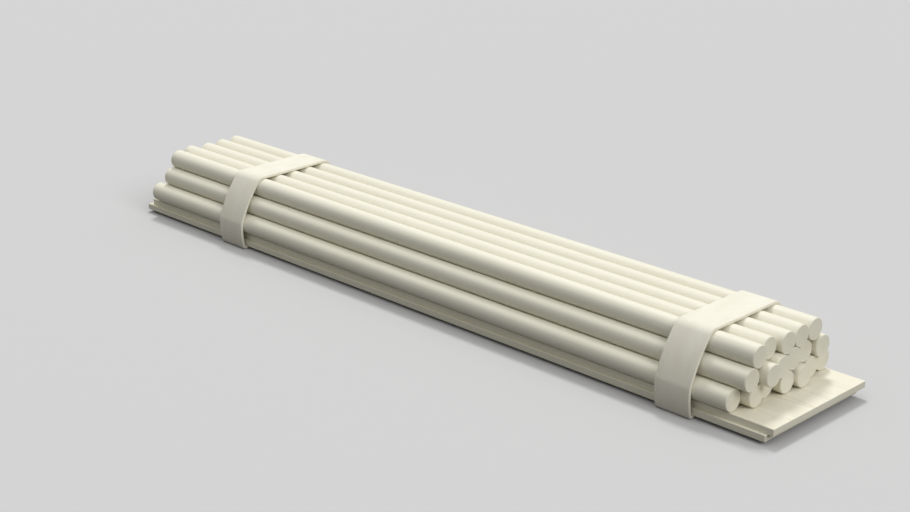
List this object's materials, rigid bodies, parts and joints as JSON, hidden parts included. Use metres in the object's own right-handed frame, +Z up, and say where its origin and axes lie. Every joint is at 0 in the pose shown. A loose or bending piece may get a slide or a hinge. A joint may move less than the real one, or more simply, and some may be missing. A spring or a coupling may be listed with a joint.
{
  "type": "stack of pipes",
  "caption": "Strapped stack of plain cream plastic pipes with closed ends, nested in rows on doubled boards and bound by wide flat straps.",
  "frame": {"origin": "on the floor under the middle of the outer box", "axes": "+X along the pipes towards the end where the boards stand out furthest, +Y to the far side, +Z up"},
  "size_m": [3.117, 0.5494, 0.2743],
  "materials": {
    "pipe_plastic": "smooth extruded plastic, cream, satin",
    "plug_plastic": "moulded plastic, cream, matt",
    "board_wood": "pale sanded board, cream, matt",
    "strap_webbing": "woven webbing, undyed off-white"
  },
  "bodies": {
    "root": {"pipe_bottom_1": "pipe_plastic", "pipe_bottom_2": "pipe_plastic", "pipe_bottom_3": "pipe_plastic", "pipe_bottom_4": "pipe_plastic", "pipe_bottom_5": "pipe_plastic", "pipe_bottom_6": "pipe_plastic", "pipe_bottom_7": "pipe_plastic", "pipe_middle_1": "pipe_plastic", "pipe_middle_2": "pipe_plastic", "pipe_middle_3": "pipe_plastic", "pipe_middle_4": "pipe_plastic", "pipe_middle_5": "pipe_plastic", "pipe_middle_6": "pipe_plastic", "pipe_top_1": "pipe_plastic", "pipe_top_2": "pipe_plastic", "pipe_top_3": "pipe_plastic", "pipe_top_4": "pipe_plastic", "pipe_top_5": "pipe_plastic", "left_end_plugs": "plug_plastic", "right_end_plugs": "plug_plastic", "upper_board": "board_wood", "lower_board": "board_wood", "left_strap": "strap_webbing", "right_strap": "strap_webbing"}
  },
  "joints": []
}
